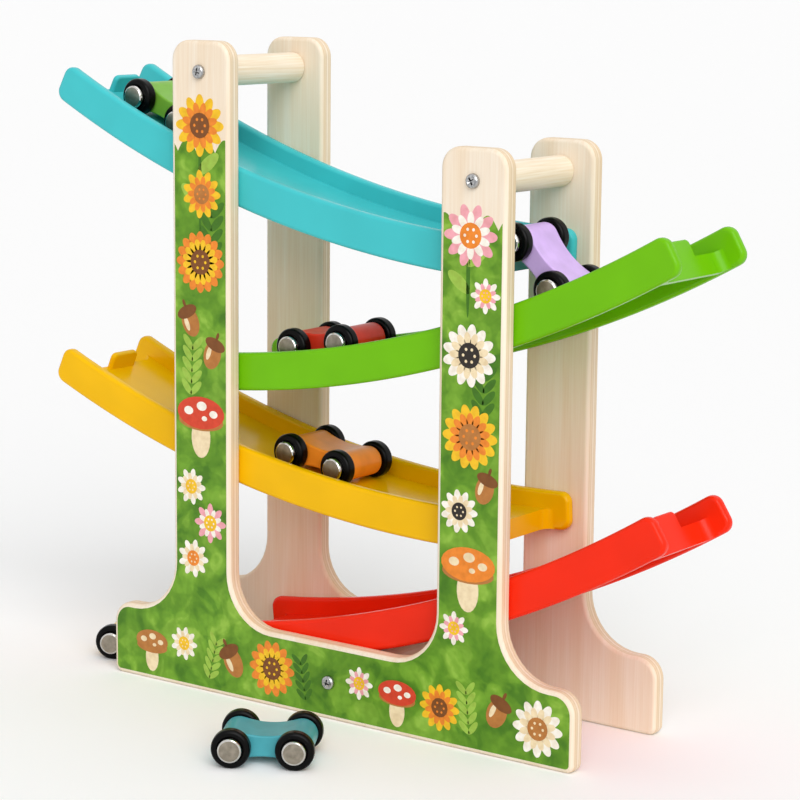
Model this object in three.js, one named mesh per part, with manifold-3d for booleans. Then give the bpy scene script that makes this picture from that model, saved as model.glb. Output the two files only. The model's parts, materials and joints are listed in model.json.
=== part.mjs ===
// Toy car slide track: four curved plastic ramps zigzag down between two plywood panels,
// and six small wooden cars run on them. Dowels and screws hold the panels apart.
// Millimetres, +Z up. The origin is the middle of the front panel's underside, +X points
// to the shorter uprights and +Y from the front panel to the rear one.

import * as THREE from 'three';
import { mergeVertices } from 'three/addons/utils/BufferGeometryUtils.js';
import Module from 'manifold-3d';

const wasm = await Module();
wasm.setup();

// Fits
const SEAT_GAP = 0.3;
const AXLE_PLAY = 0.35;

// Plywood panels: a base beam with two feet and two uprights
const PANEL_LENGTH = 260;
const PANEL_THICKNESS = 8;
const PANEL_SPACING = 60;
const BASE_HEIGHT = 35;
const UPRIGHT_WIDTH = 34;
const UPRIGHT_PITCH = 150;
const LEFT_HEIGHT = 302;
const UPRIGHT_STEP = 40;
const INNER_FILLET = 24;
const FOOT_CORNER = 10;
const FOOT_FLAT = 3;
const SOLE_CORNER = 4;
const TOP_CORNER = 9;
const EDGE_ROUND = 2;

// Dowels and the screws that hold them
const DOWEL_DIAMETER = 14;
const DOWEL_BELOW_TOP = 14;
const SCREW_DIAMETER = 3;
const SCREW_LENGTH = 28;
const SCREW_HEAD_DIAMETER = 6.6;
const SCREW_HEAD_HEIGHT = 2.2;
const SCREW_CROWN = 1.4;
const CROSS_LENGTH = 3.6;
const CROSS_WIDTH = 0.9;
const CROSS_DEPTH = 1.3;

// Ramps: one moulding, set four times at its own tilt; reaches run along the floor from its
// datum, the point that is level before the ramp is tilted
const RAMP_RADIUS = 568;
const HIGH_REACH = 133.5;
const LOW_REACH = 130.5;
const RAIL_HEIGHT = 17.5;
const RAIL_THICKNESS = 5;
const RAIL_END_ROUND = 5;
const FLOOR_HEIGHT = 9.5;
const FLOOR_THICKNESS = 2.5;
const FLOOR_SETBACK = 12;
const FLANGE_THICKNESS = 2.5;
const TAB_WIDTH = 17;
const TAB_THICKNESS = 3;
const PEG_DIAMETER = 6;
const PEG_LENGTH = 5;
const PEG_HEIGHT = 8;
const PEG_PITCH = 153;
const PEG_SHIFT = 44.3;
const LOWEST_PEGS = 41.8;
const TOP_PEGS_BELOW_TOP = 34.8;
const RAMPS = [
  { name: 'red', color: 0xf23a1c, level: 0, tilt: 19.0, high: 1 },
  { name: 'yellow', color: 0xf8c010, level: 1, tilt: 10.55, high: -1 },
  { name: 'green', color: 0x6fbe1a, level: 2, tilt: 16.2, high: 1 },
  { name: 'blue', color: 0x4bbfc4, level: 3, tilt: 14.55, high: -1 },
];

// Cars
const WHEELBASE = 27.5;
const TYRE_DIAMETER = 17;
const TYRE_WIDTH = 5.8;
const TYRE_SHOULDER = 0.9;
const TYRE_TRACK = 28.6;
const HUB_DIAMETER = 10.8;
const HUB_BEVEL = 0.8;
const HUB_OVERHANG = 2.3;
const AXLE_DIAMETER = 3;
const BODY_WIDTH = 21.8;
const BODY_END_RADIUS = 6.7;
const BODY_WAIST = 9.2;

// Where the cars stand: along a ramp from its datum, or on the floor
const GREEN_CAR_FROM_STOP = 37.6;
const RED_CAR_FROM_END = 48.6;
const ORANGE_CAR_ALONG = 15.6;
const PURPLE_CAR_LEAN = 35.9;
const TEAL_CAR_X = 13.3;
const TEAL_CAR_FROM_PANEL = 60;
const TEAL_CAR_HEADING = 30.5;
const YELLOW_CAR_BEYOND_FOOT = 8;
const YELLOW_CAR_OFF_MIDDLE = -4;
const YELLOW_CAR_HEADING = 23;

// Facets
const ARC_STEPS = 3;
const BODY_ARC_STEPS = 5;
const RUN_STEP = 22;
const MIN_EDGE = 0.01;
const TYRE_SEGMENTS = 14;
const HUB_SEGMENTS = 12;
const PIN_SEGMENTS = 10;
const DOWEL_SEGMENTS = 16;

// Worked out from the sizes above
const REAR_Y = PANEL_SPACING + PANEL_THICKNESS;
const MID_Y = REAR_Y / 2;
const UPRIGHT_X = UPRIGHT_PITCH / 2;
const RIGHT_HEIGHT = LEFT_HEIGHT - UPRIGHT_STEP;
const FOOT_LENGTH = (PANEL_LENGTH - UPRIGHT_PITCH - UPRIGHT_WIDTH) / 2;
const OUTER_FILLET = FOOT_LENGTH - FOOT_CORNER - FOOT_FLAT;
const RAMP_WIDTH = PANEL_SPACING - 2 * SEAT_GAP;
const RAMP_RISE = (RIGHT_HEIGHT - TOP_PEGS_BELOW_TOP - LOWEST_PEGS) / (RAMPS.length - 1);
const RUN_RADIUS = RAMP_RADIUS - FLOOR_HEIGHT;
const HIGH_FLOOR_END = HIGH_REACH - FLOOR_SETBACK;
const LOW_FLOOR_END = LOW_REACH - FLOOR_SETBACK;
const TYRE_RADIUS = TYRE_DIAMETER / 2;
const AXLE_RADIUS = RUN_RADIUS - TYRE_RADIUS - SEAT_GAP;
const HUB_INNER = BODY_WIDTH / 2 + SEAT_GAP;
const HUB_OUTER = TYRE_TRACK / 2 + TYRE_WIDTH / 2 + HUB_OVERHANG;
const SCREW_HOLE_RADIUS = SCREW_DIAMETER / 2 + SEAT_GAP;
const FIXINGS = [
  { name: 'left', x: -UPRIGHT_X, z: LEFT_HEIGHT - DOWEL_BELOW_TOP },
  { name: 'right', x: UPRIGHT_X, z: RIGHT_HEIGHT - DOWEL_BELOW_TOP },
  { name: 'base', x: 0, z: BASE_HEIGHT / 2 },
];

// Finishes
const birch = () => new THREE.MeshStandardMaterial({ color: 0xf0dfc8, roughness: 0.6, metalness: 0 });
const steel = () => new THREE.MeshStandardMaterial({ color: 0xb8b6b0, roughness: 0.3, metalness: 1 });
const chrome = () => new THREE.MeshStandardMaterial({ color: 0xc9c3b8, roughness: 0.22, metalness: 1 });
const rubber = () => new THREE.MeshStandardMaterial({ color: 0x17171a, roughness: 0.7, metalness: 0 });
const plastic = (color) => new THREE.MeshStandardMaterial({ color, roughness: 0.25, metalness: 0 });
const paint = (color) => new THREE.MeshStandardMaterial({ color, roughness: 0.45, metalness: 0 });

// A closed outline of corners, each given as x, y and its round; works inwards and outwards.
function roundedShape(corners) {
  const shape = new THREE.Shape();
  const count = corners.length;
  corners.forEach(([x, y, round], i) => {
    const corner = new THREE.Vector2(x, y);
    if (!round) {
      if (i === 0) shape.moveTo(x, y);
      else shape.lineTo(x, y);
      return;
    }
    const [beforeX, beforeY] = corners[(i + count - 1) % count];
    const [afterX, afterY] = corners[(i + 1) % count];
    const back = new THREE.Vector2(beforeX, beforeY).sub(corner).normalize();
    const ahead = new THREE.Vector2(afterX, afterY).sub(corner).normalize();
    const halfAngle = Math.acos(back.dot(ahead)) / 2;
    const start = corner.clone().addScaledVector(back, round / Math.tan(halfAngle));
    const end = corner.clone().addScaledVector(ahead, round / Math.tan(halfAngle));
    const middle = back.clone().add(ahead).normalize();
    const centre = corner.clone().addScaledVector(middle, round / Math.sin(halfAngle));
    if (i === 0) shape.moveTo(start.x, start.y);
    else shape.lineTo(start.x, start.y);
    const from = start.sub(centre).angle();
    const to = end.sub(centre).angle();
    shape.absarc(centre.x, centre.y, round, from, to, back.cross(ahead) > 0);
  });
  shape.closePath();
  return shape;
}

// Extrudes a side view across Y, centred on the given y, with its edges rounded over.
function extrudeAcross(shape, width, { y = 0, edge = 0, steps = ARC_STEPS } = {}) {
  const geometry = new THREE.ExtrudeGeometry(shape, {
    depth: width - 2 * edge,
    curveSegments: steps,
    bevelEnabled: edge > 0,
    bevelThickness: edge,
    bevelSize: edge,
    bevelOffset: -edge,
    bevelSegments: 2,
  });
  geometry.translate(0, 0, edge - width / 2);
  geometry.rotateX(Math.PI / 2);
  geometry.translate(0, y, 0);
  return geometry;
}

function crossPin(radius, length, x, y, z) {
  const geometry = new THREE.CylinderGeometry(radius, radius, length, PIN_SEGMENTS);
  return geometry.translate(x, y, z);
}

function solidOf(geometry) {
  const bare = geometry.clone();
  bare.deleteAttribute('normal');
  bare.deleteAttribute('uv');
  const merged = mergeVertices(bare, 1e-4);
  return new wasm.Manifold(new wasm.Mesh({
    numProp: 3,
    vertProperties: Float32Array.from(merged.attributes.position.array),
    triVerts: Uint32Array.from(merged.index.array),
  }));
}

function geometryOf(solid) {
  const { vertProperties, triVerts } = solid.getMesh();
  const geometry = new THREE.BufferGeometry();
  geometry.setAttribute('position', new THREE.BufferAttribute(vertProperties, 3));
  geometry.setIndex(new THREE.BufferAttribute(triVerts, 1));
  geometry.computeVertexNormals();
  return geometry;
}

function combine(base, added, removed) {
  let solid = solidOf(base);
  for (const geometry of added) solid = solid.add(solidOf(geometry));
  for (const geometry of removed) solid = solid.subtract(solidOf(geometry));
  return geometryOf(solid);
}

function named(name, geometry, material) {
  const mesh = new THREE.Mesh(geometry, material);
  mesh.name = name;
  return mesh;
}

// A point of a ramp's side view: along the run from its datum towards the low end, and up
// from the rail's foot. The arc's centre is the ramp's own origin.
function bend(along, up) {
  const angle = along / RUN_RADIUS;
  const radius = RAMP_RADIUS - up;
  return new THREE.Vector2(radius * Math.sin(angle), -radius * Math.cos(angle));
}

function bentShape(corners) {
  const flat = roundedShape(corners).getPoints(ARC_STEPS);
  const points = [];
  flat.forEach((point, i) => {
    const next = flat[(i + 1) % flat.length];
    const steps = Math.max(1, Math.ceil(point.distanceTo(next) / RUN_STEP));
    for (let step = 0; step < steps; step += 1) {
      const between = point.clone().lerp(next, step / steps);
      points.push(bend(between.x, between.y));
    }
  });
  return new THREE.Shape(points.filter((point, i) => i === 0 || point.distanceTo(points[i - 1]) > MIN_EDGE));
}

const pegPoints = [-1, 1].map((end) => bend(PEG_SHIFT + end * PEG_PITCH / 2, PEG_HEIGHT));
const pegMiddle = pegPoints[0].clone().add(pegPoints[1]).multiplyScalar(0.5);

// The ramp's own frame: its pegs' middle sits midway between the uprights at its level.
function rampFrame({ level, tilt, high }) {
  const frame = new THREE.Group();
  frame.rotation.set(0, -high * THREE.MathUtils.degToRad(tilt), high > 0 ? Math.PI : 0);
  const middle = new THREE.Vector3(pegMiddle.x, 0, pegMiddle.y).applyEuler(frame.rotation);
  frame.position.set(0, MID_Y, LOWEST_PEGS + level * RAMP_RISE).sub(middle);
  frame.updateMatrix();
  return frame;
}

// Two rails with a floor between them, a flange under each end of the floor, a stop tab at
// the high end and four pegs that plug into the panels.
function rampGeometry() {
  const railY = RAMP_WIDTH / 2 - RAIL_THICKNESS / 2;
  const railShape = bentShape([
    [-HIGH_REACH, 0, RAIL_END_ROUND],
    [LOW_REACH, 0, RAIL_END_ROUND],
    [LOW_REACH, RAIL_HEIGHT, RAIL_END_ROUND],
    [-HIGH_REACH, RAIL_HEIGHT, RAIL_END_ROUND],
  ]);
  const floorUnderside = FLOOR_HEIGHT - FLOOR_THICKNESS;
  const floorShape = bentShape([
    [-HIGH_FLOOR_END, 0],
    [FLANGE_THICKNESS - HIGH_FLOOR_END, 0],
    [FLANGE_THICKNESS - HIGH_FLOOR_END, floorUnderside],
    [LOW_FLOOR_END - FLANGE_THICKNESS, floorUnderside],
    [LOW_FLOOR_END - FLANGE_THICKNESS, 0],
    [LOW_FLOOR_END, 0],
    [LOW_FLOOR_END, FLOOR_HEIGHT],
    [-HIGH_FLOOR_END, FLOOR_HEIGHT],
  ]);
  const tabShape = bentShape([
    [-HIGH_FLOOR_END, FLOOR_HEIGHT / 2],
    [TAB_THICKNESS - HIGH_FLOOR_END, FLOOR_HEIGHT / 2],
    [TAB_THICKNESS - HIGH_FLOOR_END, RAIL_HEIGHT],
    [-HIGH_FLOOR_END, RAIL_HEIGHT],
  ]);
  const pegs = pegPoints.flatMap((point) => [-1, 1].map((side) => {
    const length = PEG_LENGTH + RAIL_THICKNESS / 2;
    return crossPin(PEG_DIAMETER / 2, length, point.x, side * (railY + length / 2), point.y);
  }));
  return combine(
    extrudeAcross(floorShape, RAMP_WIDTH - RAIL_THICKNESS),
    [
      extrudeAcross(railShape, RAIL_THICKNESS, { y: -railY }),
      extrudeAcross(railShape, RAIL_THICKNESS, { y: railY }),
      extrudeAcross(tabShape, TAB_WIDTH),
      ...pegs,
    ],
    [],
  );
}

// Panel with screw holes through it and a blind hole for each ramp peg in its inner face.
function panelGeometry(inward, frames) {
  const end = PANEL_LENGTH / 2;
  const outer = UPRIGHT_X + UPRIGHT_WIDTH / 2;
  const inner = UPRIGHT_X - UPRIGHT_WIDTH / 2;
  const outline = roundedShape([
    [-end, 0, SOLE_CORNER],
    [end, 0, SOLE_CORNER],
    [end, BASE_HEIGHT, FOOT_CORNER],
    [outer, BASE_HEIGHT, OUTER_FILLET],
    [outer, RIGHT_HEIGHT, TOP_CORNER],
    [inner, RIGHT_HEIGHT, TOP_CORNER],
    [inner, BASE_HEIGHT, INNER_FILLET],
    [-inner, BASE_HEIGHT, INNER_FILLET],
    [-inner, LEFT_HEIGHT, TOP_CORNER],
    [-outer, LEFT_HEIGHT, TOP_CORNER],
    [-outer, BASE_HEIGHT, OUTER_FILLET],
    [-end, BASE_HEIGHT, FOOT_CORNER],
  ]);
  const holes = FIXINGS.map(({ x, z }) => crossPin(SCREW_HOLE_RADIUS, 2 * PANEL_THICKNESS, x, 0, z));
  for (const frame of frames) {
    for (const point of pegPoints) {
      const peg = new THREE.Vector3(point.x, 0, point.y).applyMatrix4(frame.matrix);
      const face = inward * PANEL_THICKNESS / 2;
      holes.push(crossPin(PEG_DIAMETER / 2 + SEAT_GAP, 2 * PEG_LENGTH, peg.x, face, peg.z));
    }
  }
  return combine(extrudeAcross(outline, PANEL_THICKNESS, { edge: EDGE_ROUND }), [], holes);
}

// Dowel with a pilot hole in each end.
function dowelGeometry() {
  const half = PANEL_SPACING / 2 - SEAT_GAP;
  const radius = DOWEL_DIAMETER / 2;
  const hole = PANEL_SPACING / 2 + PANEL_THICKNESS - SCREW_LENGTH - SEAT_GAP;
  const profile = [
    [0, -hole],
    [SCREW_HOLE_RADIUS, -hole],
    [SCREW_HOLE_RADIUS, -half],
    [radius, -half],
    [radius, half],
    [SCREW_HOLE_RADIUS, half],
    [SCREW_HOLE_RADIUS, hole],
    [0, hole],
  ];
  return new THREE.LatheGeometry(profile.map(([r, y]) => new THREE.Vector2(r, y)), DOWEL_SEGMENTS);
}

// Pan-head screw along +Y with the seat of its head at y = 0 and a cross recess.
function screwGeometry() {
  const profile = [
    [0, -SCREW_HEAD_HEIGHT],
    [SCREW_HEAD_DIAMETER / 4, -SCREW_HEAD_HEIGHT],
    [SCREW_HEAD_DIAMETER / 2, SCREW_CROWN - SCREW_HEAD_HEIGHT],
    [SCREW_HEAD_DIAMETER / 2, 0],
    [SCREW_DIAMETER / 2, 0],
    [SCREW_DIAMETER / 2, SCREW_LENGTH - SCREW_DIAMETER],
    [0, SCREW_LENGTH],
  ];
  const body = new THREE.LatheGeometry(profile.map(([r, y]) => new THREE.Vector2(r, y)), HUB_SEGMENTS);
  const slots = [[CROSS_LENGTH, CROSS_WIDTH], [CROSS_WIDTH, CROSS_LENGTH]].map(([x, z]) => (
    new THREE.BoxGeometry(x, 2 * CROSS_DEPTH, z).translate(0, -SCREW_HEAD_HEIGHT, 0)
  ));
  return combine(body, [], slots);
}

// Wooden body: two round ends and a hollowed waist in side view, bored for both axles.
function bodyGeometry() {
  const half = WHEELBASE / 2;
  const waist = BODY_WAIST / 2;
  const drop = BODY_END_RADIUS - waist;
  const hollow = (half ** 2 - drop * (BODY_END_RADIUS + waist)) / (2 * drop);
  const lean = Math.atan2(half, hollow + waist);
  const turn = Math.PI / 2 + lean;
  const shape = new THREE.Shape();
  shape.absarc(half, 0, BODY_END_RADIUS, -turn, turn, false);
  shape.absarc(0, hollow + waist, hollow, lean - Math.PI / 2, -lean - Math.PI / 2, true);
  shape.absarc(-half, 0, BODY_END_RADIUS, Math.PI - turn, Math.PI + turn, false);
  shape.absarc(0, -hollow - waist, hollow, Math.PI / 2 + lean, Math.PI / 2 - lean, true);
  for (const x of [-half, half]) {
    const bore = new THREE.Path();
    bore.absarc(x, 0, AXLE_DIAMETER / 2 + AXLE_PLAY, 0, 2 * Math.PI, true);
    shape.holes.push(bore);
  }
  return geometryOf(solidOf(extrudeAcross(shape, BODY_WIDTH, { steps: BODY_ARC_STEPS })));
}

// Axle with a turned hub at each end, as one piece.
function wheelsetGeometry() {
  const hub = HUB_DIAMETER / 2;
  const side = [
    [0, HUB_OUTER],
    [hub - HUB_BEVEL, HUB_OUTER],
    [hub, HUB_OUTER - HUB_BEVEL],
    [hub, HUB_INNER],
    [AXLE_DIAMETER / 2, HUB_INNER],
  ];
  const profile = [
    ...side.map(([r, y]) => new THREE.Vector2(r, -y)),
    ...side.map(([r, y]) => new THREE.Vector2(r, y)).reverse(),
  ];
  return new THREE.LatheGeometry(profile, HUB_SEGMENTS);
}

function tyreGeometry() {
  const half = TYRE_WIDTH / 2;
  const bore = HUB_DIAMETER / 2 + SEAT_GAP;
  const profile = [
    [bore, -half],
    [TYRE_RADIUS - TYRE_SHOULDER, -half],
    [TYRE_RADIUS, TYRE_SHOULDER - half],
    [TYRE_RADIUS, half - TYRE_SHOULDER],
    [TYRE_RADIUS - TYRE_SHOULDER, half],
    [bore, half],
    [bore, -half],
  ];
  return new THREE.LatheGeometry(profile.map(([r, y]) => new THREE.Vector2(r, y)), TYRE_SEGMENTS);
}

// A car heads along its own +X, with its axles at the height of its origin.
const bodyForm = bodyGeometry();
const wheelsetForm = wheelsetGeometry();
const tyreForm = tyreGeometry();

function car(name, color) {
  const group = new THREE.Group();
  group.add(named(`${name}_car_body`, bodyForm, paint(color)));
  for (const [end, x] of [['front', WHEELBASE / 2], ['rear', -WHEELBASE / 2]]) {
    const axle = new THREE.Group();
    axle.position.x = x;
    axle.add(named(`${name}_car_${end}_wheelset`, wheelsetForm, chrome()));
    for (const [side, y] of [['left', TYRE_TRACK / 2], ['right', -TYRE_TRACK / 2]]) {
      const tyre = named(`${name}_car_${end}_${side}_tyre`, tyreForm, rubber());
      tyre.position.y = y;
      axle.add(tyre);
    }
    group.add(axle);
  }
  return group;
}

// A car on a ramp has both axles at the same distance from the arc's centre.
function carOnRamp(name, color, along) {
  const group = car(name, color);
  const angle = along / RUN_RADIUS;
  const radius = Math.sqrt(AXLE_RADIUS ** 2 - (WHEELBASE / 2) ** 2);
  group.position.set(radius * Math.sin(angle), 0, -radius * Math.cos(angle));
  group.rotation.y = -angle;
  return group;
}

// A car dropping off a ramp: its rear tyres lean on the end of the floor that it came from,
// and it hangs from there until its front tyres meet the ramp below.
function carDropping(name, color, upper, lower) {
  const group = car(name, color);
  const end = bend(LOW_FLOOR_END, FLOOR_HEIGHT);
  const edge = new THREE.Vector3(end.x, 0, end.y).applyMatrix4(upper.matrix);
  const lean = THREE.MathUtils.degToRad(PURPLE_CAR_LEAN);
  const away = TYRE_RADIUS + SEAT_GAP;
  const rear = new THREE.Vector3(edge.x + away * Math.cos(lean), MID_Y, edge.z + away * Math.sin(lean));
  const fromCentre = rear.clone().sub(lower.position);
  const depth = fromCentre.length();
  const cosine = (AXLE_RADIUS ** 2 - depth ** 2 - WHEELBASE ** 2) / (2 * depth * WHEELBASE);
  const swing = Math.acos(THREE.MathUtils.clamp(cosine, -1, 1));
  const pitch = Math.atan2(-fromCentre.z, fromCentre.x) - swing;
  group.rotation.y = pitch;
  const half = new THREE.Vector3(Math.cos(pitch), 0, -Math.sin(pitch)).multiplyScalar(WHEELBASE / 2);
  group.position.copy(rear).add(half);
  return group;
}

function carOnFloor(name, color, x, y, heading) {
  const group = car(name, color);
  group.position.set(x, y, TYRE_RADIUS);
  group.rotation.z = THREE.MathUtils.degToRad(heading);
  return group;
}

const track = new THREE.Group();

const frames = {};
for (const ramp of RAMPS) {
  const frame = rampFrame(ramp);
  frame.add(named(`${ramp.name}_ramp`, rampGeometry(), plastic(ramp.color)));
  frames[ramp.name] = frame;
  track.add(frame);
}

const panels = new THREE.Group();
panels.add(named('front_panel', panelGeometry(1, Object.values(frames)), birch()));
const rearPanel = named('rear_panel', panelGeometry(-1, Object.values(frames)), birch());
rearPanel.position.y = REAR_Y;
panels.add(rearPanel);
track.add(panels);

for (const { name, x, z } of FIXINGS) {
  const dowel = named(`${name}_dowel`, dowelGeometry(), birch());
  dowel.position.set(x, MID_Y, z);
  const frontScrew = named(`front_${name}_screw`, screwGeometry(), steel());
  frontScrew.position.set(x, -PANEL_THICKNESS / 2 - SEAT_GAP, z);
  const rearScrew = named(`rear_${name}_screw`, screwGeometry(), steel());
  rearScrew.position.set(x, REAR_Y + PANEL_THICKNESS / 2 + SEAT_GAP, z);
  rearScrew.rotation.z = Math.PI;
  track.add(dowel, frontScrew, rearScrew);
}

frames.blue.add(carOnRamp('green', 0x6fae33, GREEN_CAR_FROM_STOP - HIGH_FLOOR_END));
frames.green.add(carOnRamp('red', 0xc3200a, LOW_FLOOR_END - RED_CAR_FROM_END));
frames.yellow.add(carOnRamp('orange', 0xf58220, ORANGE_CAR_ALONG));
track.add(carDropping('purple', 0xb98ad6, frames.blue, frames.green));
const tealCarY = -PANEL_THICKNESS / 2 - TEAL_CAR_FROM_PANEL;
track.add(carOnFloor('teal', 0x4fa3a8, TEAL_CAR_X, tealCarY, TEAL_CAR_HEADING));
const yellowCarX = -PANEL_LENGTH / 2 - YELLOW_CAR_BEYOND_FOOT;
track.add(carOnFloor('yellow', 0xf3c21e, yellowCarX, MID_Y + YELLOW_CAR_OFF_MIDDLE, YELLOW_CAR_HEADING));

export default track;
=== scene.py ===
import json
from math import atan2, ceil, cos, pi, radians, sin, sqrt

import bmesh
import bpy
from mathutils import Matrix, Vector


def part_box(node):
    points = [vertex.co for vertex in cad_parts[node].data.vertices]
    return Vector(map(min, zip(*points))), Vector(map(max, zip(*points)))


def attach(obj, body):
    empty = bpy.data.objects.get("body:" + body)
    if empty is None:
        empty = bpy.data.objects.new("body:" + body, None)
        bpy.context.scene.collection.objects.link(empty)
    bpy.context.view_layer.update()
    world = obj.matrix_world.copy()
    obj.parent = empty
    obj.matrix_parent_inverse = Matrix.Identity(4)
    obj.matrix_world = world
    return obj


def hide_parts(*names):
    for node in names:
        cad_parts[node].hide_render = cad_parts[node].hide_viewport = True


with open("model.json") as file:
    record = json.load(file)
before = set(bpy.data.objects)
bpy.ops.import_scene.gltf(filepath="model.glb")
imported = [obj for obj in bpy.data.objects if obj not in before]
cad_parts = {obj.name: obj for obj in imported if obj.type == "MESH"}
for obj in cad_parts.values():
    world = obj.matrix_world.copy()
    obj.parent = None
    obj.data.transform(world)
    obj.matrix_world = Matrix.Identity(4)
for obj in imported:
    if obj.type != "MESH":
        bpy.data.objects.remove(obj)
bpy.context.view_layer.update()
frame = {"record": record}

# Plywood panels. Two boards of five-ply birch, sawn to one outline: a base beam that runs
# out into feet, and two uprights, the left one taller. The edges are rounded over with a
# router and the whole board is lacquered, so the plies show as bands round the edge.
MM = 0.001
PLY = 8 * MM
PANEL_END = 130 * MM
BASE_TOP = 35 * MM
UPRIGHT_INNER = 58 * MM
UPRIGHT_OUTER = 92 * MM
LEFT_TOP = 302 * MM
RIGHT_TOP = 262 * MM
SOLE_CORNER = 4 * MM
FOOT_CORNER = 10 * MM
TOP_CORNER = 9 * MM
OUTER_FILLET = 25 * MM
INNER_FILLET = 24 * MM
EDGE_ROUND = 2 * MM
CORNER_STEPS = 10
ROUND_STEPS = 4
REAR_Y = 68 * MM
MID_Y = REAR_Y / 2
# A colour Mix takes its factor in socket 0 and its colours in 6 and 7, and gives output 2.
MULTIPLY = {"data_type": "RGBA", "blend_type": "MULTIPLY"}
COVER = {"data_type": "RGBA", "blend_type": "MIX"}


def linear(hex_code):
    channels = [int(hex_code[i:i + 2], 16) / 255 for i in (1, 3, 5)]
    return [c / 12.92 if c <= 0.04045 else ((c + 0.055) / 1.055) ** 2.4 for c in channels] + [1]


def add(tree, kind, settings={}, inputs={}, stops=()):
    made = tree.nodes.new("ShaderNode" + kind)
    for key, value in settings.items():
        setattr(made, key, value)
    for key, value in inputs.items():
        if isinstance(value, bpy.types.Node):
            value = value.outputs[0]
        if isinstance(value, bpy.types.NodeSocket):
            tree.links.new(value, made.inputs[key])
        else:
            made.inputs[key].default_value = value
    if stops:
        band = made.color_ramp.elements
        while len(band) < len(stops):
            band.new(0.5)
        for element, (position, color) in zip(band, stops):
            element.position = position
            element.color = linear(color)
    return made


def new_material(name, roughness, ior=1.5, gloss=0.5):
    material = bpy.data.materials.new(name)
    material.use_nodes = True
    tree = material.node_tree
    shader = tree.nodes["Principled BSDF"]
    shader.inputs["Roughness"].default_value = roughness
    shader.inputs["IOR"].default_value = ior
    shader.inputs["Specular IOR Level"].default_value = gloss
    return material, tree, shader


def piece(name, bm, body, material, replaced=(), smooth=35):
    mesh = bpy.data.meshes.new(name)
    bm.to_mesh(mesh)
    bm.free()
    mesh.set_sharp_from_angle(angle=radians(smooth))
    for polygon in mesh.polygons:
        polygon.use_smooth = True
    made = bpy.data.objects.new(name, mesh)
    bpy.context.scene.collection.objects.link(made)
    for each in material if isinstance(material, list) else [material]:
        mesh.materials.append(each)
    made.modifiers.new("even shading", "WEIGHTED_NORMAL").keep_sharp = True
    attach(made, body)
    if replaced:
        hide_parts(*replaced)


# Birch plywood, sanded and clear lacquered: pale face veneer with a faint upright figure,
# darker cross plies and thin glue lines round the edge. Fibre streaks are 1 mm wide.
def birch_ply(name, middle_y):
    material, tree, shader = new_material(name, roughness=0.46, gloss=0.3)
    place = add(tree, "TexCoord").outputs["Object"]
    local = add(tree, "Mapping", inputs={"Vector": place, "Location": (0, -middle_y, 0)})
    across = add(tree, "SeparateXYZ", inputs={0: local}).outputs["Y"]
    depth = add(tree, "MapRange", inputs={"Value": across, "From Min": -PLY / 2, "From Max": PLY / 2})
    plies = add(tree, "ValToRGB", inputs={"Fac": depth}, stops=[
        (0.0, "#f5e9d8"), (0.17, "#f4e7d4"), (0.2, "#d8c09c"), (0.23, "#ecdbc0"), (0.38, "#ead8bc"),
        (0.41, "#d7be9a"), (0.44, "#f4e7d4"), (0.57, "#f4e7d4"), (0.6, "#d7be9a"), (0.63, "#ead8bc"),
        (0.77, "#ecdbc0"), (0.8, "#d8c09c"), (0.83, "#f4e7d4"), (1.0, "#f5e9d8"),
    ])
    streaks = add(tree, "Mapping", inputs={
        "Vector": local, "Scale": (1 / (1.0 * MM), 1 / (1.0 * MM), 1 / (45 * MM))})
    fibre = add(tree, "TexNoise", inputs={
        "Vector": streaks, "Scale": 1, "Detail": 3, "Roughness": 0.6})
    flames = add(tree, "Mapping", inputs={
        "Vector": local, "Scale": (1 / (9 * MM), 1 / (9 * MM), 1 / (110 * MM))})
    figure = add(tree, "TexNoise", inputs={
        "Vector": flames, "Scale": 1, "Detail": 2, "Distortion": 0.6})
    shade = add(tree, "ValToRGB", inputs={"Fac": fibre}, stops=[(0.3, "#ead9c0"), (0.7, "#ffffff")])
    warmth = add(tree, "ValToRGB", inputs={"Fac": figure}, stops=[(0.35, "#f4e3cb"), (0.65, "#ffffff")])
    wood = add(tree, "Mix", MULTIPLY, {0: 0.34, 6: plies, 7: shade}).outputs[2]
    wood = add(tree, "Mix", MULTIPLY, {0: 0.42, 6: wood, 7: warmth}).outputs[2]
    relief = add(tree, "Bump", inputs={"Height": fibre, "Distance": 0.05 * MM, "Strength": 0.6})
    tree.links.new(relief.outputs[0], shader.inputs["Normal"])
    return material, tree, shader, wood, local


rear_ply, tree, shader, wood, _ = birch_ply("birch plywood lacquered", REAR_Y)
tree.links.new(wood, shader.inputs["Base Color"])

# The front face is printed before it is lacquered: a meadow of leafy greens that stops in
# a scalloped edge below the bare upright tops. Bushes are 13 mm across, brush marks 4 mm.
MEADOW_TOP = 252 * MM
RIGHT_DROP = 24 * MM
SCALLOP_PITCH = 11 * MM
SCALLOP_RISE = 6 * MM
PRINT_WRAP = 0.005 * MM

front_ply, tree, shader, wood, local = birch_ply("birch plywood printed", 0)
spread = add(tree, "SeparateXYZ", inputs={0: local})
leaves = add(tree, "TexNoise", inputs={
    "Vector": local, "Scale": 1 / (16 * MM), "Detail": 3, "Distortion": 0.8})
greens = add(tree, "ValToRGB", inputs={"Fac": leaves}, stops=[
    (0.36, "#5a8d1c"), (0.43, "#6fa028"), (0.55, "#7dac31"), (0.62, "#93bd45"),
])
flat = add(tree, "Mapping", inputs={"Vector": local, "Scale": (1, 0, 1)})
bushes = add(tree, "TexVoronoi", inputs={
    "Vector": flat, "Scale": 1 / (13 * MM), "Randomness": 0.9})
crown = add(tree, "ValToRGB", inputs={"Fac": bushes}, stops=[
    (0.0, "#ffffff"), (0.4, "#f6f9ea"), (0.47, "#cbdca6"), (0.6, "#bdd192")])
greens = add(tree, "Mix", MULTIPLY, {0: 0.75, 6: greens, 7: crown}).outputs[2]
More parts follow.
